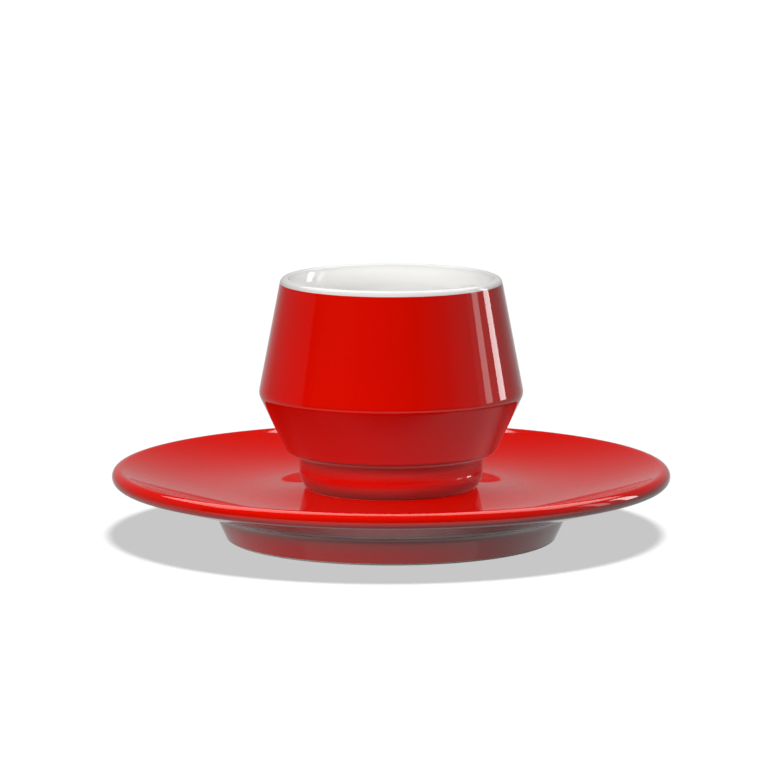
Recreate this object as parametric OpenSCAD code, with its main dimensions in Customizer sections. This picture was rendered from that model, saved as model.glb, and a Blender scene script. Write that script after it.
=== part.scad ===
// Espresso cup without a handle, standing on its saucer.
// Both are turned porcelain pieces. The saucer is red all over but for its standing ring. The cup is
// red outside and white inside, and the white runs over the lip. Each coat of glaze is a thin shell
// that lies on the fired body. The axis of both pieces is Z, and the saucer stands on z = 0.

/* [Cup] */
// Height of the cup from its standing face to the top of its lip
cup_h = 50; // [46:0.5:58]
// Outer diameter across the lip
lip_d = 52; // [49:0.5:56]
// Outer diameter at the widest edge, before that edge is rounded
belly_d = 62.6; // [59:0.2:68]
// Height of the widest edge above the standing face
belly_h = 22.5; // [19:0.5:27]
// Diameter of the foot where it is widest
foot_d = 43.4; // [40:0.2:48]
// Height of the foot's upright side, between its rounding and the hollow corner above
foot_side_h = 1.25; // [0.6:0.05:2.5]
// Inset of the standing face from the foot's side
foot_inset = 1.8; // [1.2:0.1:2.4]
// Width of the ledge by which the lower cone overhangs the foot
ledge_w = 3.2; // [2.6:0.1:4.2]
// Drop of the sloping ledge from its edge in to the foot
ledge_drop = 1.5; // [1.3:0.1:2]
// Width of the foot's standing ring
foot_ring_w = 3.2; // [2:0.2:5]
// Depth of the hollow under the foot
foot_hollow_h = 1.6; // [1:0.1:2.5]

/* [Cup inside] */
// Thickness of the wall at the lip, which is fully rounded
lip_t = 3; // [2.4:0.1:4]
// Thickness of the wall at the widest edge
belly_t = 3.2; // [2.4:0.1:4.5]
// Inset of the floor's edge inside from the foot's side, before that edge is rounded
floor_inset = 3.4; // [2.4:0.1:5]
// Thickness of the floor over the hollow under the foot
floor_t = 5.4; // [4:0.1:6.4]

/* [Cup edges] */
// Radius of the widest edge
belly_round = 3.1; // [1:0.1:5]
// Radius of the ledge's edge
ledge_round = 1.9; // [1.2:0.1:2.4]
// Radius of the hollow corner between ledge and foot
neck_round = 3.4; // [2.4:0.1:3.8]
// Radius of the foot's rounding down to the standing face
foot_round = 5.5; // [4.5:0.1:7.5]
// Radius of the edge of the floor inside
floor_round = 8; // [4:0.5:10]
// Radius of the wall inside at the widest edge
inner_belly_round = 14; // [6:0.5:18]

/* [Saucer] */
// Outer diameter of the saucer
saucer_d = 132; // [124:1:144]
// Height of the saucer's rim above the table
saucer_h = 16.7; // [15.5:0.1:19]
// Thickness of the rounded rim
rim_t = 3.7; // [3:0.1:4.4]
// Height of the seat that the cup stands on
seat_h = 11.9; // [11.2:0.1:13]
// Rise of the seat above the lowest ring of the dish
seat_rise = 0.75; // [0.4:0.05:1.5]
// Spare width of the flat seat around the cup's standing face
seat_spare = 0.3; // [0.1:0.1:1.5]
// Diameter of the lowest ring of the dish
dish_low_d = 68; // [60:0.5:76]
// Thickness of the saucer under the seat
saucer_t = 4.8; // [4:0.1:6]

/* [Saucer foot] */
// Outer diameter of the foot at its shoulder, before rounding
saucer_foot_d = 84; // [80:0.5:92]
// Height of the shoulder above the table
saucer_foot_h = 6.55; // [5.5:0.05:7.2]
// Lean of the foot's outer wall, from its shoulder in to the standing face
saucer_foot_lean = 3.05; // [1:0.05:5]
// Width of the standing face, before rounding
saucer_ring_w = 4.5; // [3.2:0.1:6]
// Lean of the foot's inner wall from its bottom to the roof of the hollow
saucer_hollow_lean = 3; // [1:0.1:5]
// Radius of the hollow corner at the shoulder
shoulder_round = 3.5; // [2:0.1:5]
// Radius of the standing ring's edges
stand_round = 0.8; // [0.4:0.05:1.2]
// Radius of the hollow's upper corner
hollow_round = 3; // [1.5:0.1:4]

/* [Glaze] */
// Thickness of each coat of glaze
glaze_t = 0.3; // [0.2:0.05:0.4]
// Width of the white band on the upper cone, under the lip's round
lip_white_w = 0.05; // [0.05:0.05:4]
// Height of the bare band at the cup's standing edge
bare_h = 0.2; // [0.1:0.05:0.6]

/* [Hidden] */

red_glaze_colour = [0.79, 0.04, 0.02];
white_glaze_colour = [0.94, 0.94, 0.93];
biscuit_colour = [0.88, 0.86, 0.82];

// Largest distance between a round stretch of an outline and its straight steps
arc_sag = 0.01;
// Sides of the turned pieces in a preview
round_sides = 180;

// Half diameters that the outlines are drawn with
lip_r = lip_d / 2;
belly_r = belly_d / 2;
foot_r = foot_d / 2;
saucer_r = saucer_d / 2;
saucer_foot_r = saucer_foot_d / 2;
dish_low_r = dish_low_d / 2;

// Path functions. A path runs with the solid on its right-hand side.
function unit(v) = v / norm(v);
function rest(list) = [for (i = [1 : len(list) - 1]) list[i]];
function reversed(list) = [for (i = [len(list) - 1 : -1 : 0]) list[i]];
function polar(r, a) = r * [cos(a), sin(a)];

// Number of straight steps for a turn in degrees at a radius
function steps(r, turn) = max(3, ceil(abs(turn) / (2 * acos(1 - arc_sag / r))));

// Arc about a centre between two angles
function arc(centre, r, a0, a1) =
  let (n = steps(r, a1 - a0))
  [for (i = [0 : n]) centre + polar(r, a0 + (a1 - a0) * i / n)];

// Arc that rounds the corner b of the path a, b, c
function eased(a, b, c, r) =
  let (
    u = unit(a - b),
    w = unit(c - b),
    half = acos(u * w) / 2,
    centre = b + unit(u + w) * r / sin(half),
    from = b + u * r / tan(half) - centre,
    to = b + w * r / tan(half) - centre,
    a0 = atan2(from[1], from[0]),
    a1 = atan2(to[1], to[0]),
    turn = (a1 - a0 + 540) % 360 - 180
  )
  arc(centre, r, a0, a0 + turn);

// Direction into the solid, square to the step from a to b
function inward(a, b) =
  let (d = unit(b - a))
  [d[1], -d[0]];

// The same path moved into the solid by a depth
function sunk(path, depth) =
  let (last = len(path) - 1)
  [for (i = [0 : last])
    let (
      n0 = inward(path[max(i - 1, 0)], path[max(i, 1)]),
      n1 = inward(path[min(i, last - 1)], path[min(i + 1, last)])
    )
    path[i] + (n0 + n1) * depth / (1 + n0 * n1)];

// How far along its sides a rounding of radius 1 reaches from the corner b of the path a, b, c
function corner_reach(a, b, c) = 1 / tan(acos(unit(a - b) * unit(c - b)) / 2);

// The foot's rounding starts upright and ends at the standing face of the cup, at height 0
foot_stand_r = foot_r - foot_inset;
foot_round_h = sqrt(2 * foot_round * foot_inset - foot_inset * foot_inset);
foot_round_centre = [foot_r - foot_round, foot_round_h];
function foot_angle(h) = -asin((foot_round_h - h) / foot_round);

// The foot's side, the hollow corner and the sloping ledge follow above the rounding
ledge_run = [ledge_w, ledge_drop];
straight_down = [0, -1];
neck_reach = corner_reach(ledge_run, [0, 0], straight_down);
neck = [foot_r, foot_round_h + foot_side_h + neck_round * neck_reach];
ledge = neck + ledge_run;

// Corners of the cup above the ledge and inside
floor_r = foot_r - floor_inset;
floor_h = foot_hollow_h + floor_t;
lip_in = [lip_r - lip_t, cup_h];
lip_out = [lip_r, cup_h];
belly = [belly_r, belly_h];
belly_in = [belly_r - belly_t, belly_h];
floor_mid = [0, floor_h];
floor_edge = [floor_r, floor_h];

// The lip's two roundings meet in the middle of the lip
lip_in_reach = corner_reach(belly_in, lip_in, lip_out);
lip_out_reach = corner_reach(lip_in, lip_out, belly);
lip_round = lip_t / (lip_in_reach + lip_out_reach);

// Place on the upper cone where white ends and red begins
red_edge = lip_out + unit(belly - lip_out) * (lip_round * lip_out_reach + lip_white_w);

// Hollow under the foot
foot_in_r = foot_stand_r - foot_ring_w;
foot_hollow_edge = [foot_in_r - foot_hollow_h, foot_hollow_h];

white_path = concat(
  [floor_mid],
  eased(floor_mid, floor_edge, belly_in, floor_round),
  eased(floor_edge, belly_in, lip_in, inner_belly_round),
  eased(belly_in, lip_in, lip_out, lip_round),
  rest(eased(lip_in, lip_out, belly, lip_round)),
  [red_edge]
);
red_path = concat(
  [red_edge],
  eased(lip_out, belly, ledge, belly_round),
  eased(belly, ledge, neck, ledge_round),
  eased(ledge, neck, foot_round_centre + [foot_round, 0], neck_round),
  arc(foot_round_centre, foot_round, 0, foot_angle(bare_h))
);
bare_foot_path = concat(
  arc(foot_round_centre, foot_round, foot_angle(bare_h), foot_angle(0)),
  [[foot_in_r, 0], foot_hollow_edge, [0, foot_hollow_h]]
);

// Saucer, standing on height 0
saucer_stand_r = saucer_foot_r - saucer_foot_lean;
rim_r = rim_t / 2;
rim_centre = [saucer_r - rim_r, saucer_h - rim_r];
seat_r = foot_stand_r + seat_spare;
dish_low_h = seat_h - seat_rise;

// Two equal arcs lead from the seat down to the lowest ring
fall_w = dish_low_r - seat_r;
fall_round = (fall_w * fall_w + seat_rise * seat_rise) / (4 * seat_rise);
fall_turn = asin(fall_w / 2 / fall_round);

// One arc leads from the lowest ring up to the rim and touches the rim's round
dish_w = rim_centre[0] - dish_low_r;
dish_rise = rim_centre[1] - dish_low_h;
dish_round = (dish_w * dish_w + dish_rise * dish_rise - rim_r * rim_r) / (2 * (dish_rise + rim_r));
dish_centre = [dish_low_r, dish_low_h + dish_round];
dish_turn = atan2(rim_centre[1] - dish_centre[1], rim_centre[0] - dish_centre[0]);

// The underside runs from the shoulder straight to the rim's round
shoulder = [saucer_foot_r, saucer_foot_h];
under_run = rim_centre - shoulder;
under_angle = atan2(under_run[1], under_run[0]) - asin(rim_r / norm(under_run));

// Standing ring and the hollow inside it
stand_out = [saucer_stand_r, 0];
stand_in = [saucer_stand_r - saucer_ring_w, 0];
hollow_h = seat_h - saucer_t;
hollow_edge = [stand_in[0] - saucer_hollow_lean, hollow_h];
hollow_mid = [0, hollow_h];

rim_end = rim_centre + polar(rim_r, under_angle - 90);
stand_out_edge = eased(shoulder, stand_out, stand_in, stand_round);
stand_in_edge = eased(stand_out, stand_in, hollow_edge, stand_round);

saucer_top_path = concat(
  [[0, seat_h]],
  arc([seat_r, seat_h - fall_round], fall_round, 90, 90 - fall_turn),
  rest(arc([dish_low_r, dish_low_h + fall_round], fall_round, -90 - fall_turn, -90)),
  rest(arc(dish_centre, dish_round, -90, dish_turn)),
  rest(arc(rim_centre, rim_r, dish_turn + 180, under_angle - 90)),
  eased(rim_end, shoulder, stand_out, shoulder_round),
  [stand_out_edge[0]]
);
saucer_hollow_path = concat(
  [stand_in_edge[len(stand_in_edge) - 1]],
  eased(stand_in, hollow_edge, hollow_mid, hollow_round),
  [hollow_mid]
);

// Solid turned about the axis from a closed outline
module turned(outline) {
  rotate_extrude($fn = round_sides) polygon(outline);
}

// Coat of glaze along a path
module coat(path) {
  turned(concat(path, reversed(sunk(path, glaze_t))));
}

// Fired porcelain of the saucer, bare only at its standing ring
module saucer_body() {
  color(biscuit_colour) turned(concat(
    sunk(saucer_top_path, glaze_t),
    stand_out_edge,
    stand_in_edge,
    sunk(saucer_hollow_path, glaze_t)
  ));
}

// Red glaze over the dish, rim, underside and foot, and in the hollow under the saucer
module saucer_red_glaze() {
  color(red_glaze_colour) {
    coat(saucer_top_path);
    coat(saucer_hollow_path);
  }
}

// Fired porcelain of the cup, bare at its standing ring and in the hollow under its foot
module cup_body() {
  color(biscuit_colour) translate([0, 0, seat_h]) turned(concat(
    sunk(white_path, glaze_t),
    rest(sunk(red_path, glaze_t)),
    bare_foot_path
  ));
}

// White glaze inside the cup and over its lip
module cup_white_glaze() {
  color(white_glaze_colour) translate([0, 0, seat_h]) coat(white_path);
}

// Red glaze outside the cup, from the white lip to the bare standing edge
module cup_red_glaze() {
  color(red_glaze_colour) translate([0, 0, seat_h]) coat(red_path);
}

saucer_body();
saucer_red_glaze();
cup_body();
cup_white_glaze();
cup_red_glaze();
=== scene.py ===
# %% [markdown]
# # Espresso cup with saucer
# The object is two fired porcelain pieces: a cup without a handle, and the saucer that it stands on.
# Both were turned on a wheel or jiggered, so every shape in this file is an outline carried once round
# the Z axis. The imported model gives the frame, the bodies and the places, and this lesson gives the
# surfaces that are seen: red glaze, white glaze and the bare standing rings.

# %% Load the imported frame
import math

import bpy
import numpy as np
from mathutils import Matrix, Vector


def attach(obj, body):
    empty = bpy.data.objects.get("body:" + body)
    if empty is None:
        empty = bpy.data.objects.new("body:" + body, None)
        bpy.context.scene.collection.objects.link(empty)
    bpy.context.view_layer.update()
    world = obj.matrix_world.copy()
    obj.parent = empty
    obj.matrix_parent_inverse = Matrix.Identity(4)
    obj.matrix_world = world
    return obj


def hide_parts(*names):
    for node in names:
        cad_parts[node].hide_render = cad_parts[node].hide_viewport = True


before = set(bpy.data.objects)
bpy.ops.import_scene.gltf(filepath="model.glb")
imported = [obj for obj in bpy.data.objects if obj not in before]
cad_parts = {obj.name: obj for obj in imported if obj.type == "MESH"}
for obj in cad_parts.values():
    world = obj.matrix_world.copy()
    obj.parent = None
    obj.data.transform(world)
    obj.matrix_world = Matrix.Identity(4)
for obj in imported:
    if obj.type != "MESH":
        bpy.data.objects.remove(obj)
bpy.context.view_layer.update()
MM = 0.001


def placed(name, data):
    """A new object at the origin that holds this data, linked to the scene."""
    thing = bpy.data.objects.new(name, data)
    bpy.context.scene.collection.objects.link(thing)
    return thing


# %% [markdown]
# ## Camera
# The photograph is taken from a little above, with a long lens: the far and the near rim of the saucer
# are almost equally wide. Distance, height, tilt and opening angle were found by matching the ellipses
# of rim, lip and foot. The cup's axis lies about one pixel right of the middle. A lens shift could do
# that, but it would follow the camera into other views, so the camera stands a quarter of a millimetre
# to the left instead.

# %% Camera
QUARTER = math.pi / 2
CAMERA_BACK = 1.30506
CAMERA_HEIGHT = 0.23453
CAMERA_LEFT = 0.00027
CAMERA_TILT = math.radians(8.693)
CAMERA_OPENING = math.radians(7.978)

lens = bpy.data.cameras.new("camera")
lens.angle = CAMERA_OPENING
camera = placed("camera", lens)
camera.location = (-CAMERA_LEFT, -CAMERA_BACK, CAMERA_HEIGHT)
camera.rotation_euler = (QUARTER - CAMERA_TILT, 0, 0)
bpy.context.scene.camera = camera
bpy.context.scene.view_settings.view_transform = "Standard"
print("camera opens", round(math.degrees(lens.angle), 3), "degrees")

# %% [markdown]
# ## Outlines
# A turned piece is known by its outline: radius and height along a path that starts at the axis. Each
# outline here is a few corners, and each corner is eased by an arc that touches both of its sides. It
# could be a Bezier curve with a Screw modifier, but arrays of points keep the true radii and give every
# point its own data, such as how thick the glaze lies there. All sizes are the real ones, in metres.

# %% Outline helpers
ARC_STEP = math.radians(5)
FEWEST_ARC_STEPS = 6
LONGEST_STEP = 1.2 * MM
STEP_SLACK = 1e-6
SAME_PLACE = 1e-9


def unit(vector):
    """A vector divided by its length."""
    return vector / np.linalg.norm(vector)


def polar(angle):
    """The point of the unit circle at an angle: cosine and sine."""
    return np.stack([np.cos(angle), np.sin(angle)], -1)


def arc(centre, radius, start, end):
    """Centre plus radius times the unit circle, from one angle to the other.

    Its steps are small enough both as an angle and as a length.
    """
    turn = abs(end - start)
    steps = max(FEWEST_ARC_STEPS, math.ceil(turn / ARC_STEP), math.ceil(radius * turn / LONGEST_STEP))
    return np.asarray(centre) + radius * polar(np.linspace(start, end, steps + 1))


def eased(a, b, c, radius):
    """Arc that rounds corner b between a and c.

    Its centre lies on the corner's bisector, radius over the sine of half the corner away from b. It
    touches both sides radius over the tangent of half the corner away from b.
    """
    to_a, to_c = unit(a - b), unit(c - b)
    half = math.acos(to_a @ to_c) / 2
    centre = b + unit(to_a + to_c) * radius / math.sin(half)
    first = b + to_a * radius / math.tan(half) - centre
    last = b + to_c * radius / math.tan(half) - centre
    start = math.atan2(first[1], first[0])
    turn = (math.atan2(last[1], last[0]) - start + math.pi) % (2 * math.pi) - math.pi
    return arc(centre, radius, start, start + turn)


def joined(*runs):
    """One path from several runs, with straight stretches cut into equal steps, none above the longest."""
    corners = np.concatenate([np.atleast_2d(run) for run in runs])
    lengths = np.linalg.norm(np.diff(corners, axis=0), axis=1)
    apart = lengths > SAME_PLACE
    corners, lengths = corners[np.append(True, apart)], lengths[apart]
    along = np.append(0, np.cumsum(lengths))
    cuts = np.maximum(1, np.ceil(lengths / LONGEST_STEP - STEP_SLACK)).astype(int)
    share = (np.arange(cuts.sum()) - np.repeat(np.cumsum(cuts) - cuts, cuts)) / np.repeat(cuts, cuts)
    places = np.append(np.repeat(along[:-1], cuts) + share * np.repeat(lengths, cuts), along[-1])
    return np.stack([np.interp(places, along, corners[:, axis]) for axis in (0, 1)], -1)


def sunk(path, depth):
    """The path moved into the piece by a depth, or out of it by a negative one.

    Each point goes along the sum of its two inward normals, so far that both its sides move by the depth.
    """
    step = np.diff(path, axis=0)
    normal = np.stack([step[:, 1], -step[:, 0]], -1) / np.linalg.norm(step, axis=1)[:, None]
    before, after = np.vstack([normal[:1], normal]), np.vstack([normal, normal[-1:]])
    return path + (before + after) * depth / (1 + (before * after).sum(1))[:, None]


print("outline helpers ready, longest step", LONGEST_STEP / MM, "mm")

# %% [markdown]
# ## The cup's sizes
# A potter would note a cup by a few lengths: how wide it is at lip, belly and foot, how high each of
# these lies above the standing face, how thick the wall is there, and how round each edge. The outline
# could be one drawn curve instead, but with named lengths it stays clear which length does what. A name
# ends in R for a radius, H for a height, T for a thickness and W for a width.

# %% Cup sizes
# The coat of glaze, and the seat's height above the table
GLAZE = 0.3 * MM
SEAT_H = 11.9 * MM
# Lip, with the flare inside it
CUP_H = 50 * MM
LIP_R = 26 * MM
LIP_T = 3 * MM
LIP_INNER_ROUND = 0.8 * MM
FLARE_LEAN = math.radians(34)
FLARE_RUN = 3.25 * MM
FLARE_ROUND = 6.5 * MM
# Widest edge, outside and inside
BELLY_R = 31.3 * MM
BELLY_H = 22.5 * MM
BELLY_T = 3.2 * MM
BELLY_ROUND = 3.1 * MM
INNER_BELLY_ROUND = 14 * MM
# Ledge under the lower cone, and the neck where it bends into the foot
LEDGE_RUN = np.array([3.2, 1.5]) * MM
LEDGE_ROUND = 1.9 * MM
NECK_ROUND = 3.4 * MM
# Foot, with its round, its standing ring, its hollow and a fine groove
FOOT_R = 21.7 * MM
FOOT_SIDE_H = 1.25 * MM
FOOT_INSET = 1.8 * MM
FOOT_ROUND = 5.5 * MM
FOOT_RING_W = 3.2 * MM
FOOT_HOLLOW_H = 1.6 * MM
GROOVE_DEPTH = 0.085 * MM
GROOVE_TOP_H = 0.5 * MM
GROOVE_END_H = 0.07 * MM
GROOVE_POINTS = 6
# Floor inside
FLOOR_INSET = 3.4 * MM
FLOOR_T = 5.4 * MM
FLOOR_ROUND = 8 * MM
# Edges of the glazes
WHITE_BAND_W = 0.05 * MM
BARE_H = 0.05 * MM
print("cup is", 2 * BELLY_R / MM, "mm wide and", CUP_H / MM, "mm high")

# %% [markdown]
# ### The cup's corners
# From the floor inside, the wall runs out to the widest edge and in to the lip, which flares a little
# inside and is rounded. Outside it goes down to the widest edge again. A second cone leads in to a
# sloping ledge, which bends in a hollow neck into a short foot, and below a fine groove the foot is
# rounded off towards the saucer. Every corner is worked out from the lengths, so a changed length moves
# all that hangs on it.

# %% Cup corners
def at(radius, height):
    """A point of the cup's outline, lifted to where the cup stands on the saucer."""
    return np.array([radius, SEAT_H + height])


def reach(a, b, c):
    """How far an arc of radius 1 reaches along the sides of corner b: one over the tangent of its half."""
    return 1 / math.tan(math.acos(unit(a - b) @ unit(c - b)) / 2)


foot_stand_r = FOOT_R - FOOT_INSET
foot_round_h = math.sqrt(2 * FOOT_ROUND * FOOT_INSET - FOOT_INSET**2)
foot_centre = at(FOOT_R - FOOT_ROUND, foot_round_h)
neck_reach = reach(LEDGE_RUN, np.zeros(2), np.array([0, -1]))
neck = at(FOOT_R, foot_round_h + FOOT_SIDE_H + NECK_ROUND * neck_reach)
ledge = neck + LEDGE_RUN
belly, belly_in = at(BELLY_R, BELLY_H), at(BELLY_R - BELLY_T, BELLY_H)
floor_h = FOOT_HOLLOW_H + FLOOR_T
floor_mid, floor_edge = at(0, floor_h), at(FOOT_R - FLOOR_INSET, floor_h)

lip_in, lip_out = at(LIP_R - LIP_T, CUP_H), at(LIP_R, CUP_H)
lip_out_reach = reach(lip_in, lip_out, belly)
lip_round = LIP_T / (reach(belly_in, lip_in, lip_out) + lip_out_reach)
red_edge = lip_out + unit(belly - lip_out) * (lip_round * lip_out_reach + WHITE_BAND_W)
lip_w = lip_round * lip_out_reach + LIP_INNER_ROUND * math.tan((QUARTER - FLARE_LEAN) / 2)
lip_crest = lip_out - [lip_w, 0]
flare = lip_crest - FLARE_RUN * polar(QUARTER - FLARE_LEAN)
groove_top, groove_end = at(FOOT_R - GROOVE_DEPTH, GROOVE_TOP_H), at(FOOT_R, GROOVE_END_H)
groove = np.linspace(groove_top, groove_end, GROOVE_POINTS) + [0, foot_round_h]
print("lip's outer round", round(lip_round / MM, 2), "mm, red starts at", np.round(red_edge / MM, 2), "mm")

# %% [markdown]
# ### The cup's paths
# White glaze covers the inside and the lip, red glaze the outside, and the foot's standing ring stays
# bare, because a glazed ring would stick to the kiln shelf. So the outline is cut into three paths. One
# path with painted bands could do, but each glaze is a coat of its own, with an edge that can be felt.

# %% Cup paths
def foot_angle(height):
    """Angle on the foot's round at a height above the standing face.

    That is minus the arc sine of the drop below the round's middle over its radius.
    """
    return -math.asin((foot_round_h - height) / FOOT_ROUND)


white_path = joined(
    floor_mid,
    eased(floor_mid, floor_edge, belly_in, FLOOR_ROUND),
    eased(floor_edge, belly_in, flare, INNER_BELLY_ROUND),
    eased(belly_in, flare, lip_crest, FLARE_ROUND),
    eased(flare, lip_crest, lip_out, LIP_INNER_ROUND),
    eased(lip_crest, lip_out, belly, lip_round),
    red_edge,
)
red_path = joined(
    red_edge,
    eased(lip_out, belly, ledge, BELLY_ROUND),
    eased(belly, ledge, neck, LEDGE_ROUND),
    eased(ledge, neck, foot_centre + [FOOT_ROUND, 0], NECK_ROUND),
    groove,
    arc(foot_centre, FOOT_ROUND, 0, foot_angle(BARE_H)),
)
bare_foot_path = joined(
    arc(foot_centre, FOOT_ROUND, foot_angle(BARE_H), foot_angle(0)),
    at(foot_stand_r - FOOT_RING_W, 0),
    at(foot_stand_r - FOOT_RING_W - FOOT_HOLLOW_H, FOOT_HOLLOW_H),
    at(0, FOOT_HOLLOW_H),
)
print("cup outline points: white", len(white_path), "red", len(red_path), "bare", len(bare_foot_path))

# %% [markdown]
# ## The saucer's corners
# The middle of the dish is a flat seat for the cup. A short arc over its edge and a long hollow one lead
# down to the lowest ring, and one long arc climbs from there to the round rim. The underside falls
# straight back to the shoulder of the foot, and the foot stands on a narrow ring around a hollow. Each
# arc starts in the direction in which the last one ends, because a kink would show as a line in the gloss.

# %% Saucer corners
# Dish and rim
SAUCER_R = 66 * MM
SAUCER_H = 16.7 * MM
RIM_R = 1.85 * MM
SEAT_RISE = 0.85 * MM
SEAT_SPARE = 0.3 * MM
FALL_EDGE_SHARE = 0.1
DISH_LOW_R = 34 * MM
# Foot and hollow
SAUCER_T = 4.8 * MM
SAUCER_FOOT_R = 42 * MM
SAUCER_FOOT_H = 6.55 * MM
SAUCER_FOOT_LEAN = 3.05 * MM
SAUCER_RING_W = 4.5 * MM
HOLLOW_LEAN = 3 * MM
SHOULDER_ROUND = 3.5 * MM
STAND_ROUND = 0.8 * MM
HOLLOW_ROUND = 3 * MM

rim_centre = np.array([SAUCER_R - RIM_R, SAUCER_H - RIM_R])
seat_r = foot_stand_r + SEAT_SPARE
dish_low_h = SEAT_H - SEAT_RISE
fall_w = DISH_LOW_R - seat_r
fall_turn = 2 * math.atan(SEAT_RISE / fall_w)
fall_round = fall_w / math.sin(fall_turn)
edge_round, bowl_round = FALL_EDGE_SHARE * fall_round, (1 - FALL_EDGE_SHARE) * fall_round
dish_w, dish_rise = rim_centre - [DISH_LOW_R, dish_low_h]
dish_round = (dish_w**2 + dish_rise**2 - RIM_R**2) / (2 * (dish_rise + RIM_R))
dish_centre = np.array([DISH_LOW_R, dish_low_h + dish_round])
dish_turn = math.atan2(*(rim_centre - dish_centre)[::-1])

shoulder = np.array([SAUCER_FOOT_R, SAUCER_FOOT_H])
under_run = rim_centre - shoulder
under_angle = math.atan2(under_run[1], under_run[0]) - math.asin(RIM_R / np.linalg.norm(under_run))
rim_end = rim_centre + RIM_R * polar(under_angle - QUARTER)
stand_out = np.array([SAUCER_FOOT_R - SAUCER_FOOT_LEAN, 0])
stand_in = stand_out - [SAUCER_RING_W, 0]
hollow_h = SEAT_H - SAUCER_T
hollow_edge, hollow_mid = np.array([stand_in[0] - HOLLOW_LEAN, hollow_h]), np.array([0, hollow_h])
stand_out_edge = eased(shoulder, stand_out, stand_in, STAND_ROUND)
stand_in_edge = eased(stand_out, stand_in, hollow_edge, STAND_ROUND)
dish_arcs = np.array([edge_round, bowl_round, dish_round])
print("arcs of seat edge, fall and dish in mm", np.round(dish_arcs / MM))

# %% [markdown]
# ### The saucer's paths
# Red glaze covers the dish, the rim, the underside and the outside of the foot, and also the hollow
# inside the foot. Only the ring that the saucer stands on is bare. So here too the outline could be one
# path with bands, and is cut into three instead: the top, the ring and the hollow.

# %% Saucer paths
top_path = joined(
    np.array([0, SEAT_H]),
    arc([seat_r, SEAT_H - edge_round], edge_round, QUARTER, QUARTER - fall_turn),
    arc([DISH_LOW_R, dish_low_h + bowl_round], bowl_round, -QUARTER - fall_turn, -QUARTER),
    arc(dish_centre, dish_round, -QUARTER, dish_turn),
    arc(rim_centre, RIM_R, dish_turn + math.pi, under_angle - QUARTER),
    eased(rim_end, shoulder, stand_out, SHOULDER_ROUND),
    stand_out_edge[0],
)
stand_path = joined(stand_out_edge, stand_in_edge)
hollow_path = joined(
    stand_in_edge[-1],
    eased(stand_in, hollow_edge, hollow_mid, HOLLOW_ROUND),
    hollow_mid,
)
print("saucer outline points: top", len(top_path), "ring", len(stand_path), "hollow", len(hollow_path))

# %% [markdown]
# ## Turning an outline
# The mesh is a grid: one row of vertices for each point of the outline, one column for each of the
# sides. A point on the axis becomes a single pole with a fan of triangles, and a closed outline joins
# its last row to its first. A Screw modifier would do the same, but the grid also carries an attribute,
# the depth of the glaze with a share of painted shade, which the finishes read later.

# %% Turned mesh
SIDES = 320
SHARP = math.radians(40)


def turned(name, path, depth, closed):
    """Point i of the path at side j is (r cos a, r sin a, z), where a is side j's share of a full turn."""
    on_axis = path[:, 0] < SAME_PLACE
    angle = np.linspace(0, 2 * math.pi, SIDES, endpoint=False)
    ring = np.stack([
        np.outer(path[:, 0], np.cos(angle)),
        np.outer(path[:, 0], np.sin(angle)),
        np.repeat(path[:, 1:], SIDES, axis=1),
    ], -1)
    count = np.where(on_axis, 1, SIDES)
    start = np.append(0, np.cumsum(count))
    points = ring[np.arange(SIDES) < count[:, None]]
    index = start[:-1, None] + np.where(on_axis[:, None], 0, np.arange(SIDES))
    rows, rows_next = (index, np.roll(index, -1, 0)) if closed else (index[:-1], index[1:])
    corners = [rows, rows_next, np.roll(rows_next, -1, 1), np.roll(rows, -1, 1)]
    cells = np.stack(corners, -1).reshape(-1, 4)
    low_pole, high_pole = cells[:, 0] == cells[:, 3], cells[:, 1] == cells[:, 2]
    faces = cells[~low_pole & ~high_pole].tolist()
    faces += cells[low_pole & ~high_pole][:, [0, 1, 2]].tolist()
    faces += cells[high_pole & ~low_pole][:, [0, 1, 3]].tolist()
    mesh = bpy.data.meshes.new(name)
    mesh.from_pydata(points, [], faces)
    # The attribute carries the glaze depth and its share of painted shade
    attribute = mesh.attributes.new("glaze_depth_and_shade", "FLOAT", "POINT")
    attribute.data.foreach_set("value", np.repeat(depth, count))
    mesh.shade_smooth()
    mesh.set_sharp_from_angle(angle=SHARP)
    print(name, "points", len(points), "faces", len(faces))
    return placed(name, mesh)


print("turning in", SIDES, "sides")

# %% [markdown]
# ## Coats and bodies
# Glaze runs off edges that stick out and gathers in hollows, so each point of a coat gets a depth from
# how sharply the outline bends there, averaged over the width of a drop. A share of painted shade is
# added by height, where shade falls under the cup's ledge, at the bottom of its foot and under the
# saucer's shoulder. It could be painted by hand, but a reckoned depth follows the shape. A coat is a
# thin closed shell, and the fired body fills what lies between the coats.

# %% Coats and bodies
DROP_W = 1.1 * MM
DEPTH_BEND = 0.55 * MM
INNER_SKIP = 3
NO_PAINTED_SHADE = ((0, 0),)


def glaze_depth_and_shade(path):
    """One plus a length times the bend, averaged with a bell curve along the path.

    The bend is the turn per length, and a hollow counts up and an edge down.
    """
    step = np.diff(path, axis=0)
    heading = np.unwrap(np.arctan2(step[:, 1], step[:, 0]))
    along = np.append(0, np.cumsum(np.linalg.norm(step, axis=1)))
    turn = np.concatenate([[0], np.diff(heading), [0]])
    width = np.gradient(along)
    bell = np.exp(-(((along[:, None] - along) / DROP_W) ** 2))
    bend = (bell * turn).sum(1) / (bell * width).sum(1)
    return 1 + DEPTH_BEND * bend


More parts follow.
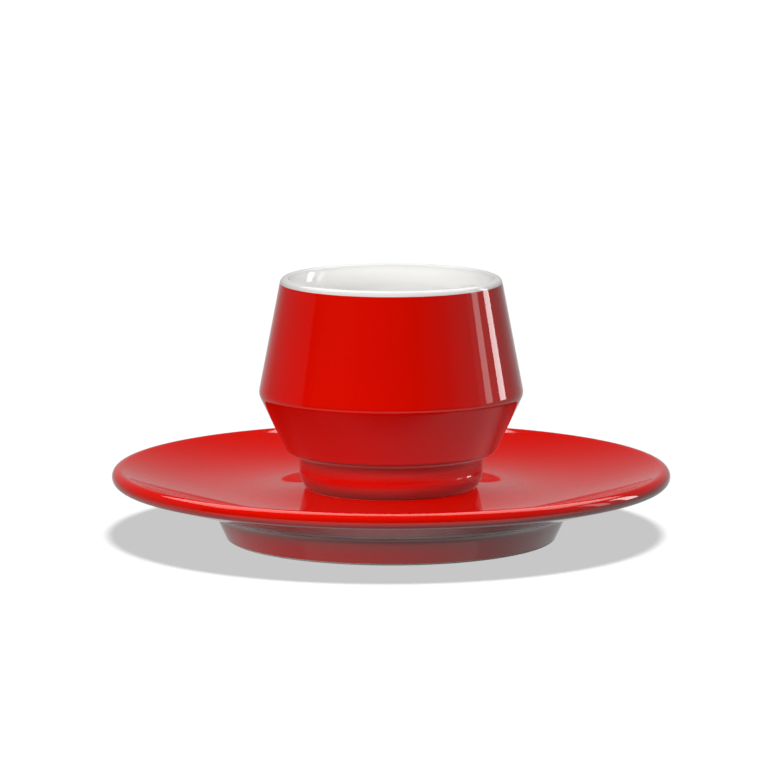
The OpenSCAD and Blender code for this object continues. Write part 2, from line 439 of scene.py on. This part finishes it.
def coat(name, path, painted_shade=NO_PAINTED_SHADE):
    """Shell of glaze: the path outside, and back along the path sunk by the coat's thickness.

    The unseen way back has only every third point. The depth from the bend gets a share of painted
    shade, which is straight between its pairs of height and share.
    """
    back = sunk(path, GLAZE)[::-1]
    kept = np.unique(np.append(np.arange(0, len(back), INNER_SKIP), len(back) - 1))
    # Painted shade is added to the depth by height
    depth = glaze_depth_and_shade(path) + np.interp(path[:, 1], *np.transpose(painted_shade))
    shell, shell_depth_and_shade = np.concatenate([path, back[kept]]), np.concatenate([depth, depth[::-1][kept]])
    return turned(name, shell, shell_depth_and_shade, True)


def body(name, *runs):
    """Solid of revolution between the first and the last point of the runs, which both lie on the axis."""
    path = np.concatenate(runs)
    keep = np.append(True, np.linalg.norm(np.diff(path, axis=0), axis=1) > SAME_PLACE)
    return turned(name, path[keep], np.ones(keep.sum()), False)


print("coats are", GLAZE / MM, "mm thick")

# %% [markdown]
# ### The six pieces
# Each fired body is one piece. The saucer has a red coat above and another in its hollow, and the cup
# has a white coat inside and a red one outside. The red is painted darker and greyer, as painted shade,
# under the cup's ledge and at the rounded bottom of its foot, and on the saucer round the shoulder of
# the foot.

# %% Pieces
# Pairs of height and share of painted shade
# Painted shade under the cup's ledge and at the rounded bottom of its foot
CUP_PAINTED_SHADE = (
    (SEAT_H, 0.75),
    (foot_centre[1] - 1.6 * MM, 0.3),
    (foot_centre[1] - 0.3 * MM, 0.0),
    (neck[1] - 1.0 * MM, 0.0),
    (neck[1] + 0.1 * MM, 0.25),
    (ledge[1] - 0.6 * MM, 0.7),
    (ledge[1] + 0.25 * MM, 0.72),
    (ledge[1] + 0.5 * MM, 0.0),
)
# Painted shade under the saucer's shoulder and round the top of its foot
SAUCER_PAINTED_SHADE = (
    (2.5 * MM, 0.0),
    (SAUCER_FOOT_H, 0.25),
    (SAUCER_FOOT_H + 3 * MM, 0.25),
    (dish_low_h, 0.0),
)

saucer_porcelain = body("saucer_porcelain", sunk(top_path, GLAZE), stand_path, sunk(hollow_path, GLAZE))
saucer_red_top = coat("saucer_red_top", top_path, SAUCER_PAINTED_SHADE)
saucer_red_hollow = coat("saucer_red_hollow", hollow_path)
cup_porcelain = body("cup_porcelain", sunk(white_path, GLAZE), sunk(red_path, GLAZE), bare_foot_path)
cup_white_inside = coat("cup_white_inside", white_path)
cup_red_outside = coat("cup_red_outside", red_path, CUP_PAINTED_SHADE)

# %% [markdown]
# ## Finishes
# Red and white glaze are glass with pigment in it: a sharp gloss over a body colour. What tells them
# from plastic is small: the surface is not quite flat, the colour changes where the glaze runs thin over
# an edge and where it gathers, and a few pinholes and specks stay from the firing. Some of the darker,
# greyer colour in hollows and under ledges is painted shade. The bare rings are fired clay, matt and
# grainy, with grey marks where they rub. Painted images could show this, but noise nodes stay sharp at
# any distance. Every pattern reads object coordinates, which are metres here, so a noise of 1000 lumps
# per metre gives details of about a millimetre.

# %% Node helpers
def finish_nodes(name):
    """A new node material with only its output and its shader."""
    material = bpy.data.materials.new(name)
    material.use_nodes = True
    tree = material.node_tree
    return material, tree, tree.nodes["Principled BSDF"]


def noise(tree, per_metre, detail=2.0, roughness=0.5):
    """Noise in object coordinates, with about so many lumps per metre."""
    place = tree.nodes.get("Object place") or tree.nodes.new("ShaderNodeTexCoord")
    place.name = "Object place"
    node = tree.nodes.new("ShaderNodeTexNoise")
    node.inputs["Scale"].default_value = per_metre
    node.inputs["Detail"].default_value = detail
    node.inputs["Roughness"].default_value = roughness
    tree.links.new(place.outputs["Object"], node.inputs["Vector"])
    return node.outputs["Fac"]


def spread(tree, value, low, high, to_low, to_high):
    """A value between low and high carried to the range to_low to to_high, and held at its ends."""
    node = tree.nodes.new("ShaderNodeMapRange")
    for key, number in (("From Min", low), ("From Max", high), ("To Min", to_low), ("To Max", to_high)):
        node.inputs[key].default_value = number
    tree.links.new(value, node.inputs["Value"])
    return node.outputs["Result"]


def blended(tree, share, first, second):
    """Colour between two colours, or two colour outputs, by a share."""
    node = tree.nodes.new("ShaderNodeMix")
    node.data_type = "RGBA"
    tree.links.new(share, node.inputs["Factor"])
    for key, colour in (("A", first), ("B", second)):
        socket = next(s for s in node.inputs if s.name == key and s.type == "RGBA")
        if isinstance(colour, tuple):
            socket.default_value = (*colour, 1)
        else:
            tree.links.new(colour, socket)
    return next(s for s in node.outputs if s.type == "RGBA")


def bumped(tree, shader, height, distance):
    """Tilts the surface by a height output times a distance in metres."""
    node = tree.nodes.new("ShaderNodeBump")
    node.inputs["Distance"].default_value = distance
    tree.links.new(height, node.inputs["Height"])
    tree.links.new(node.outputs["Normal"], shader.inputs["Normal"])


print("node helpers ready")

# %% [markdown]
# ### Glaze
# One function makes both glazes. The depth attribute picks between the thin, the even and the deep
# colour: thin red is brighter, and deep red is duller and greyer, partly glaze that pooled and partly
# painted shade. Thin white is painted greyer, a painted shade on the lip. A slow noise drifts the colour
# by a few per cent, and specks a third of a millimetre wide are a little darker.
# The bump is a long, very low ripple, so that the edge of a lamp stays straight but not ruled.

# %% Glazes
THIN_TO_EVEN = (0.65, 1.0)
EVEN_TO_DEEP = (1.0, 1.5)
NOISE_MIDDLE = (0.3, 0.7)
CLOUD = 35
CLOUD_SHARE = 0.16
SPECK = 2600
SPECK_PEAKS = (0.74, 0.80)
SPECK_SHARE = 0.5
POLISH = 140
RIPPLE = 220
RIPPLE_DEPTH = 2e-6
GLASS_IOR = 1.5


def glaze(name, thin, even, deep, speck, roughness):
    """Gloss over a colour that goes from thin at edges through even to deep in hollows.

    Clouds and specks mix in the speck colour, by noise that is spread to a share. The deep colour is
    partly painted shade, and thin white is painted shade on the lip's edges.
    """
    material, tree, shader = finish_nodes(name)
    depth = tree.nodes.new("ShaderNodeAttribute")
    depth.attribute_name = "glaze_depth_and_shade"
    lean = spread(tree, depth.outputs["Fac"], *THIN_TO_EVEN, 0, 1)
    # The deep colour is partly pooled glaze and partly painted shade
    pooled_and_shade = spread(tree, depth.outputs["Fac"], *EVEN_TO_DEEP, 0, 1)
    colour = blended(tree, pooled_and_shade, blended(tree, lean, thin, even), deep)
    cloud = spread(tree, noise(tree, CLOUD, detail=3.0), *NOISE_MIDDLE, 0, CLOUD_SHARE)
    colour = blended(tree, cloud, colour, speck)
    grain = spread(tree, noise(tree, SPECK, detail=1.0), *SPECK_PEAKS, 0, SPECK_SHARE)
    colour = blended(tree, grain, colour, speck)
    polish = spread(tree, noise(tree, POLISH), *NOISE_MIDDLE, *roughness)
    tree.links.new(colour, shader.inputs["Base Color"])
    tree.links.new(polish, shader.inputs["Roughness"])
    shader.inputs["IOR"].default_value = GLASS_IOR
    bumped(tree, shader, noise(tree, RIPPLE), RIPPLE_DEPTH)
    print("finish", name)
    return material


red_glaze = glaze(
    "red_glaze",
    thin=(0.74, 0.0045, 0.0005),
    even=(0.70, 0.0042, 0.0003),
    # The deep red, dark and greyish, is partly glaze that pooled and partly painted shade
    deep=(0.30, 0.095, 0.085),
    speck=(0.52, 0.003, 0.0005),
    roughness=(0.025, 0.045),
)
white_glaze = glaze(
    "white_glaze",
    # Thin white is painted greyer: painted shade on the lip's crest and edges
    thin=(0.68, 0.672, 0.66),
    even=(0.87, 0.863, 0.852),
    deep=(0.85, 0.845, 0.835),
    speck=(0.84, 0.83, 0.80),
    roughness=(0.03, 0.055),
)

# %% [markdown]
# ### Bare porcelain
# The saucer's standing ring and the underside of the cup's foot are bare clay. It is nearly white and
# grainy to the touch, and is rubbed grey in patches. Two images could show that, but here a fine noise
# gives colour, roughness and bump together, as real grains do, and a coarser one the patches.

# %% Bare porcelain
CLAY_GRAIN = 5200
CLAY_GRAIN_DEPTH = 4e-5
CLAY_ROUGHNESS = (0.62, 0.82)
CLAY_DARK = (0.74, 0.70, 0.63)
CLAY_LIGHT = (0.80, 0.77, 0.71)
RUB = 420
RUB_PEAKS = (0.52, 0.66)
RUB_SHARE = 0.55
RUB_GREY = (0.52, 0.50, 0.47)


def bare_porcelain():
    """Matt clay: fine grain in colour and bump, with rubbed grey patches a few millimetres long."""
    material, tree, shader = finish_nodes("bare_porcelain")
    grain = noise(tree, CLAY_GRAIN, detail=3.0, roughness=0.6)
    rubbed = spread(tree, noise(tree, RUB, detail=4.0, roughness=0.65), *RUB_PEAKS, 0, RUB_SHARE)
    mottled = blended(tree, spread(tree, grain, *NOISE_MIDDLE, 0, 1), CLAY_DARK, CLAY_LIGHT)
    tree.links.new(blended(tree, rubbed, mottled, RUB_GREY), shader.inputs["Base Color"])
    tree.links.new(spread(tree, grain, *NOISE_MIDDLE, *CLAY_ROUGHNESS), shader.inputs["Roughness"])
    bumped(tree, shader, grain, CLAY_GRAIN_DEPTH)
    print("finish bare_porcelain")
    return material


clay = bare_porcelain()

# %% [markdown]
# ## Putting the pieces on their bodies
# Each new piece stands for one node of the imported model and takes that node's place, so the cup's
# pieces lift off with the cup and the saucer's stay.

# %% Bodies, slots and finishes
for piece, node, rides_on, slot, finish in (
    (saucer_porcelain, "saucer_body", "saucer", "biscuit", clay),
    (saucer_red_top, "saucer_red_glaze", "saucer", "red_glaze", red_glaze),
    (saucer_red_hollow, "saucer_red_glaze", "saucer", "red_glaze", red_glaze),
    (cup_porcelain, "cup_body", "cup", "biscuit", clay),
    (cup_white_inside, "cup_white_glaze", "cup", "white_glaze", white_glaze),
    (cup_red_outside, "cup_red_glaze", "cup", "red_glaze", red_glaze),
):
    piece.data.materials.append(finish)
    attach(piece, rides_on)
    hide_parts(node)
    print(piece.name, "stands for", node, "on", rides_on)

# %% [markdown]
# ## Floor
# The floor is white and keeps one even shadow with a soft edge. White all over would need a lot of light
# on the object, so the floor glows a little instead: its glow is what is left in the shadow, and a lamp
# of its own, high up and a little to the front, adds the rest. That lamp lights nothing but the floor,
# and only the camera sees the floor: what the object gets from below comes from the world.

# %% Floor
FLOOR_HALF = 6.0
FLOOR_LEVEL = 1.05
SHADOW_LEVEL = 0.57
FLOOR_COLOUR = 0.02
SUN_LEAN_FRONT = math.radians(16)
SUN_LEAN_RIGHT = math.radians(5.3)
SUN_WIDTH = math.radians(12)
SQUARE = np.array([(-1, -1), (1, -1), (1, 1), (-1, 1)])


def flat_card(name, middle, half_w, half_h):
    """One flat face with its corners at the middle plus or minus both halves."""
    mesh = bpy.data.meshes.new(name)
    mesh.from_pydata(middle + SQUARE @ np.stack([half_w, half_h]), [], [(0, 1, 2, 3)])
    return placed(name, mesh)


def only_on(source, *pieces):
    """Lets a lamp, or a glowing skin, work on these pieces alone, through light linking."""
    group = bpy.data.collections.new("only_" + source.name)
    for piece in pieces:
        group.objects.link(piece)
    source.light_linking.receiver_collection = group


floor = flat_card("floor", np.zeros(3), np.array([FLOOR_HALF, 0, 0]), np.array([0, FLOOR_HALF, 0]))
floor.visible_glossy = False
floor.visible_diffuse = False

floor_finish, _, shader = finish_nodes("floor_white")
shader.inputs["Base Color"].default_value = (FLOOR_COLOUR, FLOOR_COLOUR, FLOOR_COLOUR, 1)
shader.inputs["Roughness"].default_value = 1.0
shader.inputs["Specular IOR Level"].default_value = 0.0
shader.inputs["Emission Color"].default_value = (1, 1, 1, 1)
shader.inputs["Emission Strength"].default_value = SHADOW_LEVEL
floor.data.materials.append(floor_finish)

sun = bpy.data.lights.new("floor_sun", "SUN")
sun.energy = (FLOOR_LEVEL - SHADOW_LEVEL) * math.pi / FLOOR_COLOUR
sun.angle = SUN_WIDTH
floor_sun = placed("floor_sun", sun)
floor_sun.rotation_euler = (SUN_LEAN_FRONT, SUN_LEAN_RIGHT, 0)
only_on(floor_sun, floor)
print("floor half width", FLOOR_HALF, "m")

# %% [markdown]
# ## Surroundings in the gloss
# Gloss is judged by what it mirrors. Around the object the studio is dark in front, pale low at the
# back, and the white table below grows brighter towards the right. A photograph of a room could stand
# here, but a world shader holds all that is soft as brightness over height, with one scale for the front
# and one for the back. A second, much weaker scale gives the body colours a little light from below. The
# camera sees plain white instead.

# %% Level helpers
def graded(tree, value, stops):
    """Grey level over a value from -1 to 1, straight between its stops."""
    node = tree.nodes.new("ShaderNodeValToRGB")
    while len(node.color_ramp.elements) < len(stops):
        node.color_ramp.elements.new(0.5)
    for element, (stop, level) in zip(node.color_ramp.elements, stops):
        element.position = (stop + 1) / 2
        element.color = (level, level, level, 1)
    tree.links.new(spread(tree, value, -1, 1, 0, 1), node.inputs["Fac"])
    return node.outputs["Color"]


def reckoned(tree, operation, *values):
    """A Math node over outputs and numbers."""
    node = tree.nodes.new("ShaderNodeMath")
    node.operation = operation
    for socket, value in zip(node.inputs, values):
        if isinstance(value, (int, float)):
            socket.default_value = value
        else:
            tree.links.new(value, socket)
    return node.outputs["Value"]


print("level helpers ready")

# %% [markdown]
# ### The world's levels
# A direction is read by its parts along the axes: up picks a level on each scale, back says how much of
# the back's scale counts, and right adds a little and raises the rest. Ray kinds then choose what is
# seen: mirrors see the gloss levels, body colours the soft ones and the camera white.

# %% World
# Pairs of a direction's part along one axis, from -1 to 1, and a level: up, to the back, to the right
FRONT_SCALE = (
    (-1.0, 0.7), (-0.96, 0.8), (-0.88, 0.95), (-0.6, 1.1),
    (-0.45, 1.0), (-0.35, 0.8), (-0.25, 0.3), (-0.15, 0.0),
)
BACK_SCALE = (
    (-1.0, 0.3), (-0.5, 0.3), (-0.3, 0.5), (-0.2, 0.62), (-0.14, 0.66), (-0.07, 0.6), (0.0, 0.41),
    (0.14, 0.375), (0.26, 0.31), (0.38, 0.25), (0.47, 0.2), (0.59, 0.13), (0.77, 0.04), (1.0, 0.0),
)
BODY_SCALE = ((-0.1, 0.135), (0.1, 0.0))
BACK_SHARE = ((-0.125, 0.0), (-0.085, 0.33), (0.7, 0.5), (0.87, 0.72), (1.0, 1.0))
RIGHT_FADE = ((0.4, 0.0), (0.8, 0.08), (1.0, 0.24))
# How much the gloss grows towards the right, and the light on the body colours, which falls
GLOSS_GAIN = 0.18
BODY_GAIN = -1.0

world = bpy.data.worlds.new("world")
bpy.context.scene.world = world
world.use_nodes = True
sky = world.node_tree
place = sky.nodes.new("ShaderNodeTexCoord")
axes = sky.nodes.new("ShaderNodeSeparateXYZ")
sky.links.new(place.outputs["Generated"], axes.inputs["Vector"])
right, back, up = (axes.outputs[key] for key in "XYZ")

front_level, back_level = graded(sky, up, FRONT_SCALE), graded(sky, up, BACK_SCALE)
gloss = blended(sky, graded(sky, back, BACK_SHARE), front_level, back_level)
gloss = reckoned(sky, "ADD", gloss, graded(sky, right, RIGHT_FADE))
gloss = reckoned(sky, "MULTIPLY", gloss, reckoned(sky, "MULTIPLY_ADD", right, GLOSS_GAIN, 1.0))
soft_gain = reckoned(sky, "MULTIPLY_ADD", right, BODY_GAIN, 1.0)
soft = reckoned(sky, "MULTIPLY", graded(sky, up, BODY_SCALE), soft_gain)
rays = sky.nodes.new("ShaderNodeLightPath")
seen = blended(sky, rays.outputs["Is Glossy Ray"], soft, gloss)
seen = blended(sky, rays.outputs["Is Camera Ray"], seen, (1.0, 1.0, 1.0))
sky.links.new(seen, sky.nodes["Background"].inputs["Color"])
print("world nodes", len(sky.nodes))

# %% [markdown]
# ## Cards for the gloss
# Gloss shows the lamps themselves: a wide box overhead draws the line along the rims, and two upright
# boxes on the right draw the two stripes on the cup. Area lamps would do, but a lamp is also sampled
# from the dish that the cup mirrors, and the cup would fill with images of images. So each box is a
# clear, glowing card that only the gloss sees, and only in its first mirror.

# %% Card helpers
LAMP_RANGE = 1.5
CUP_MIDDLE = np.array([0, 0, SEAT_H + CUP_H / 2])
# A ray's glossy depth is 1 after its first mirror and 2 after its second
FIRST_MIRROR = 1.5


def compass(azimuth, elevation):
    """Direction from azimuth, 0 towards the camera and positive to the right, and elevation, in degrees."""
    a, e = math.radians(azimuth), math.radians(elevation)
    return np.array([math.sin(a) * math.cos(e), -math.cos(a) * math.cos(e), math.sin(e)])


def hung(azimuth, elevation, width, height, shift):
    """Middle, half width and half height of a card at the lamps' range that faces the cup.

    Width, height and the shift to the back are in lamp ranges.
    """
    out, along = compass(azimuth, elevation), compass(azimuth + 90, 0)
    middle = CUP_MIDDLE + (out + [0, shift, 0]) * LAMP_RANGE
    return middle, along * width / 2 * LAMP_RANGE, np.cross(out, along) * height / 2 * LAMP_RANGE


def first_glow(name, level):
    """Clear material that glows in a first mirror only.

    The level is a number, or a function of the material's tree that gives an output.
    """
    material, tree, shader = finish_nodes(name)
    tree.nodes.remove(shader)
    kinds = ("Emission", "BsdfTransparent", "AddShader", "LightPath")
    glow, clear, both, path = (tree.nodes.new("ShaderNode" + kind) for kind in kinds)
    first = reckoned(tree, "LESS_THAN", path.outputs["Glossy Depth"], FIRST_MIRROR)
    strength = level(tree) if callable(level) else level
    tree.links.new(reckoned(tree, "MULTIPLY", first, strength), glow.inputs["Strength"])
    tree.links.new(glow.outputs[0], both.inputs[0])
    tree.links.new(clear.outputs[0], both.inputs[1])
    tree.links.new(both.outputs[0], tree.nodes["Material Output"].inputs["Surface"])
    material.cycles.emission_sampling = "NONE"
    return material


def shown_to_gloss(card, level):
    """Gives a card its glow and hides it from all but mirrors."""
    card.data.materials.append(first_glow(card.name, level))
    card.visible_camera = card.visible_diffuse = card.visible_shadow = False
    print("shown to the gloss alone:", card.name)


print("cards hang", LAMP_RANGE, "m from the cup")

# %% [markdown]
# ### The three cards
# Azimuth and elevation hang a card where its image falls on the right stretch of rim or cup, and its
# width and height make the image as long and as wide as it should be. The overhead one reaches from
# above the cup to the back, so the line on the near rim ends where the rim mirrors straight upwards.

# %% Gloss cards
# Name, azimuth, elevation, width, height, shift to the back, level
for name, azimuth, elevation, width, height, shift, level in (
    ("top_card", 0, 90, 2.1, 1.11, 0.525, 2.8),
    ("right_card", 94.5, 16, 0.14, 0.6, 0.0, 2.2),
    ("back_card", 113.5, 14, 0.165, 0.52, 0.0, 6.6),
):
    card = flat_card(name, *hung(azimuth, elevation, width, height, shift))
    shown_to_gloss(card, level)

# %% [markdown]
# ### Haze between the walls
# Light that goes to and fro between two glossy walls ends as a pale haze. The cup's lower cone shows it
# above the dish, more towards the right, the cup's ledge and foot show it in the neck between them, and
# the saucer's underside shows it round the foot. A renderer would need many bounces for it, and would
# show sharp images on the way. So three clear skins, a tenth of a millimetre off those walls, glow for
# one piece each. The one over the dish fades towards the rim, the back and for flat glances.

# %% Haze levels
DISH_HAZE = 0.255
DISH_HAZE_PER_METRE = 4.6
DISH_HAZE_INNER = 0.4
DISH_HAZE_RISE = (24 * MM, 31 * MM)
DISH_HAZE_FADE = (52 * MM, 64 * MM)
# Pairs of y in decimetres and share
DISH_HAZE_DEPTH = ((-0.5, 0.05), (-0.44, 0.3), (-0.36, 1.0), (-0.03, 1.0), (0.12, 0.2))
DECIMETRES = 10.0
FLAT_GLANCE = (0.45, 0.6)
FLAT_SHARE = 0.5
NECK_HAZE = 0.15
NECK_HAZE_PER_METRE = 2.0
UNDER_HAZE = 0.095
UNDER_HAZE_FADE = (6 * MM, 24 * MM)


def sideways(tree):
    """Outputs of x and y in object coordinates."""
    place, axes = (tree.nodes.new("ShaderNode" + kind) for kind in ("TexCoord", "SeparateXYZ"))
    tree.links.new(place.outputs["Object"], axes.inputs["Vector"])
    return axes.outputs["X"], axes.outputs["Y"]


def grown(tree, x, level, per_metre):
    """A level that grows with x by so much per metre, and never falls below zero."""
    return reckoned(tree, "MAXIMUM", reckoned(tree, "MULTIPLY_ADD", x, per_metre, level), 0.0)


def on_front(tree, level):
    """The level on the front of a skin, and nothing on its back, through which its own wall looks out."""
    side = tree.nodes.new("ShaderNodeNewGeometry")
    return reckoned(tree, "MULTIPLY", level, reckoned(tree, "SUBTRACT", 1.0, side.outputs["Backfacing"]))


def dish_level(tree):
    """The grown level times three fades: with the distance from the axis, to the back, for flat glances."""
    x, y = sideways(tree)
    level = grown(tree, x, DISH_HAZE, DISH_HAZE_PER_METRE)
    out = reckoned(tree, "SQRT", reckoned(tree, "MULTIPLY_ADD", y, y, reckoned(tree, "MULTIPLY", x, x)))
    rise = spread(tree, out, *DISH_HAZE_RISE, DISH_HAZE_INNER, 1)
    ring = reckoned(tree, "MULTIPLY", rise, spread(tree, out, *DISH_HAZE_FADE, 1, 0))
    near = graded(tree, reckoned(tree, "MULTIPLY", y, DECIMETRES), DISH_HAZE_DEPTH)
    glance = tree.nodes.new("ShaderNodeLayerWeight")
    steep = spread(tree, glance.outputs["Facing"], *FLAT_GLANCE, 1, FLAT_SHARE)
    faded = reckoned(tree, "MULTIPLY", level, reckoned(tree, "MULTIPLY", ring, near))
    return reckoned(tree, "MULTIPLY", faded, steep)


def neck_level(tree):
    """The grown level on the skin's front."""
    x, _ = sideways(tree)
    return on_front(tree, grown(tree, x, NECK_HAZE, NECK_HAZE_PER_METRE))


def under_level(tree):
    """A level on the skin's front that fades to both sides."""
    x, _ = sideways(tree)
    middle = spread(tree, reckoned(tree, "ABSOLUTE", x), *UNDER_HAZE_FADE, UNDER_HAZE, 0)
    return on_front(tree, middle)


print("haze levels: dish", DISH_HAZE, "neck", NECK_HAZE, "underside", UNDER_HAZE)

# %% [markdown]
# ### The three skins
# Each skin is a stretch of an outline, lifted off its wall and turned like a piece. It could be copied
# from the wall's mesh, but the outline is at hand. Light linking lets a single piece mirror it.

# %% Haze skins
HAZE_LIFT = 0.1 * MM
UNDER_HAZE_TOP = 1.5 * MM

top_r, top_h = top_path.T
red_h = red_path[:, 1]
upper_side = np.arange(len(top_h)) < top_h.argmax()
lower_side = np.arange(len(top_h)) > top_h.argmax()
in_dish = upper_side & (top_r >= seat_r) & (top_r < DISH_HAZE_FADE[1]) & (top_h >= dish_low_h)
at_neck = (red_h > foot_centre[1] + GROOVE_TOP_H) & (red_h < ledge[1])
at_foot = lower_side & (top_h < SAUCER_FOOT_H + UNDER_HAZE_TOP)

for name, path, level, seen_by in (
    ("dish_haze", top_path[in_dish] + [0, HAZE_LIFT], dish_level, cup_red_outside),
    ("neck_haze", sunk(red_path, -HAZE_LIFT)[at_neck], neck_level, cup_red_outside),
    ("under_haze", sunk(top_path, -HAZE_LIFT)[at_foot], under_level, saucer_red_top),
):
    skin = turned(name, path, np.ones(len(path)), False)
    shown_to_gloss(skin, level)
    only_on(skin, seen_by)

# %% [markdown]
# ## Lamps for the body colour
# Softer lamps give the body colour its shape. They are kept out of the gloss, as a photographer keeps a
# large lamp out of a mirror by its angle. Two lamps for all would do, but cup and saucer would shade each
# other, and the floor of the cup would clip to plain white. So cup and saucer each have a lamp from the
# front that casts no shadow, as the light of a whole bright room would, and share one overhead. The cup
# has a further one behind it and the dish one above it. The white glaze has three around the mouth, and
# its wall keeps most of their light off the floor. One low lamp on the left lights everything.

# %% Body lamps
BODY_LAMP_W = 0.75


def body_lamp(name, azimuth, elevation, level, shadow):
    """Round lamp at the lamps' range, facing the cup. White that faces it looks as bright as the level."""
    out = compass(azimuth, elevation)
    light = bpy.data.lights.new(name, "AREA")
    light.shape = "DISK"
    light.size = BODY_LAMP_W * LAMP_RANGE
    light.energy = level * (math.pi * LAMP_RANGE) ** 2
    light.use_shadow = shadow
    lamp = placed(name, light)
    lamp.location = CUP_MIDDLE + out * LAMP_RANGE
    lamp.rotation_euler = Vector(out).to_track_quat("Z", "Y").to_euler()
    lamp.visible_camera = lamp.visible_glossy = False
    print("body lamp", name, "level", level)
    return lamp


cup_reds = (cup_porcelain, cup_red_outside)
saucer_reds = (saucer_porcelain, saucer_red_top, saucer_red_hollow)
whites = (cup_white_inside,)
# Name, azimuth, elevation, level, shadow, lit pieces
for name, azimuth, elevation, level, shadow, lit in (
    ("cup_lamp", -9, 59.1, 1.066, False, cup_reds),
    ("back_lamp", 180, 25, 0.5, True, cup_reds),
    ("saucer_lamp", -9, 52.6, 0.9, False, saucer_reds),
    ("dish_lamp", 0, 88, 0.2, False, saucer_reds),
    ("top_lamp", 0, 88, 0.26, True, cup_reds + saucer_reds),
    ("front_mouth_lamp", -8, 50, 1.04, True, whites),
    ("right_mouth_lamp", 95, 40, 0.35, True, whites),
    ("back_mouth_lamp", 180, 40, 0.61, True, whites),
):
    only_on(body_lamp(name, azimuth, elevation, level, shadow), *lit)
body_lamp("left_lamp", -55, 8, 0.36, True)
